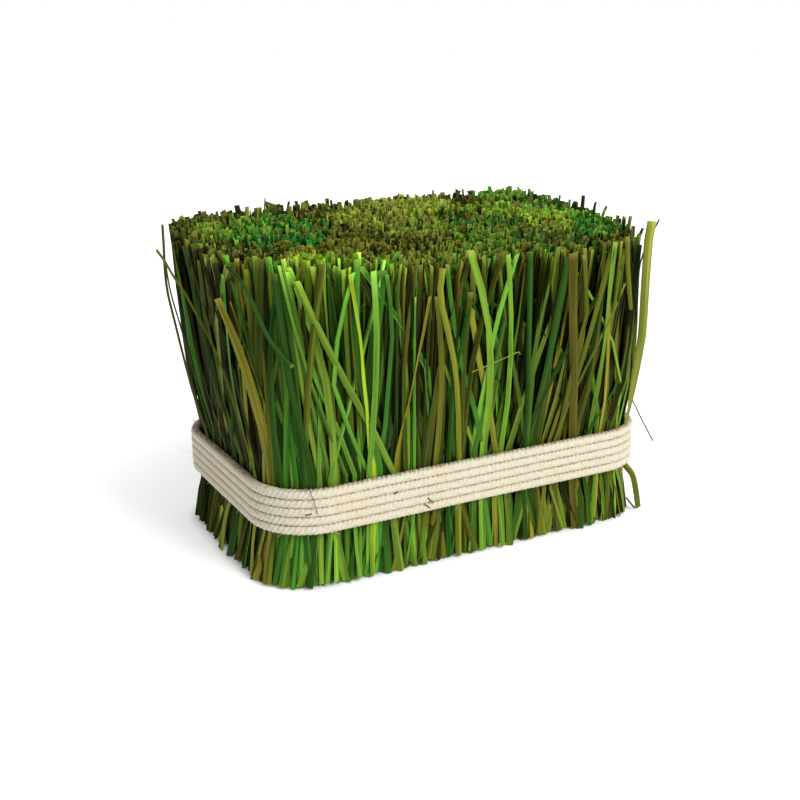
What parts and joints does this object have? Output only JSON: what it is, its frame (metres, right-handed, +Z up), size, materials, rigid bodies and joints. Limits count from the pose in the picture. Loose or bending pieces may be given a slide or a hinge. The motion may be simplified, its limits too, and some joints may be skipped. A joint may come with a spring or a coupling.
{
  "type": "grass hay bale",
  "caption": "Decorative block of upright dyed dried grass, cut level on top and bound round the waist with cotton rope.",
  "frame": {"origin": "on the ground, under the middle of the block", "axes": "+X along the long sides, from left to right as seen from the front; -Y out of the front; +Z up"},
  "size_m": [0.2641, 0.1699, 0.1823],
  "materials": {
    "sheaf_front_1": "bright green dyed dried grass, satin",
    "sheaf_front_2": "lime and bright green dyed dried grass, satin",
    "sheaf_front_3": "mixed green and olive dyed dried grass, satin",
    "sheaf_front_4": "olive dyed dried grass, satin",
    "sheaf_front_5": "olive brown dyed dried grass, satin",
    "sheaf_middle_1": "dark olive dyed dried grass, satin",
    "sheaf_middle_2": "teal green dyed dried grass, satin",
    "sheaf_middle_3": "brown olive dyed dried grass, satin",
    "sheaf_middle_4": "olive green dyed dried grass, satin",
    "sheaf_middle_5": "dark green dyed dried grass, satin",
    "sheaf_back_1": "dark olive dyed dried grass, satin",
    "sheaf_back_2": "dark brown olive dyed dried grass, satin",
    "sheaf_back_3": "yellow green dyed dried grass, satin",
    "sheaf_back_4": "bright green dyed dried grass, satin",
    "sheaf_back_5": "lime green dyed dried grass, satin",
    "blades_green": "green dyed dried grass, satin",
    "blades_dark": "dark green dyed dried grass, satin",
    "blades_olive": "olive dyed dried grass, satin",
    "blades_yellow": "yellow dyed dried grass, satin",
    "rope_cotton": "undyed twisted cotton rope, matt"
  },
  "bodies": {
    "root": {"sheaf_front_1": "sheaf_front_1", "sheaf_front_2": "sheaf_front_2", "sheaf_front_3": "sheaf_front_3", "sheaf_front_4": "sheaf_front_4", "sheaf_front_5": "sheaf_front_5", "sheaf_middle_1": "sheaf_middle_1", "sheaf_middle_2": "sheaf_middle_2", "sheaf_middle_3": "sheaf_middle_3", "sheaf_middle_4": "sheaf_middle_4", "sheaf_middle_5": "sheaf_middle_5", "sheaf_back_1": "sheaf_back_1", "sheaf_back_2": "sheaf_back_2", "sheaf_back_3": "sheaf_back_3", "sheaf_back_4": "sheaf_back_4", "sheaf_back_5": "sheaf_back_5", "blade_corner_broad": "blades_yellow", "blade_front_dark": "blades_dark", "blade_front_lime": "blades_yellow", "blade_front_bent": "blades_yellow", "blade_front_bright": "blades_green", "blade_front_thin": "blades_dark", "blade_front_olive": "blades_olive", "blade_front_long": "blades_green", "blade_right_broad": "blades_olive", "blade_front_wide_green": "blades_green", "blade_front_gold": "blades_yellow", "blade_front_crossing": "blades_green", "blade_front_1": "blades_olive", "blade_front_2": "blades_dark", "blade_front_3": "blades_green", "blade_front_4": "blades_olive", "blade_right_1": "blades_olive", "blade_right_2": "blades_dark", "blade_right_3": "blades_green", "blade_right_4": "blades_olive", "blade_right_5": "blades_dark", "blade_right_6": "blades_green", "blade_back_1": "blades_olive", "blade_back_2": "blades_dark", "blade_back_3": "blades_green", "blade_back_4": "blades_olive", "blade_back_5": "blades_dark", "blade_back_6": "blades_green", "blade_back_7": "blades_olive", "blade_back_8": "blades_dark", "blade_back_9": "blades_green", "blade_back_10": "blades_olive", "blade_back_11": "blades_dark", "blade_back_12": "blades_green", "blade_left_1": "blades_olive", "blade_left_2": "blades_dark", "blade_left_3": "blades_green", "blade_left_4": "blades_olive", "blade_left_5": "blades_dark", "blade_left_6": "blades_green", "rope_binding": "rope_cotton"}
  },
  "joints": []
}
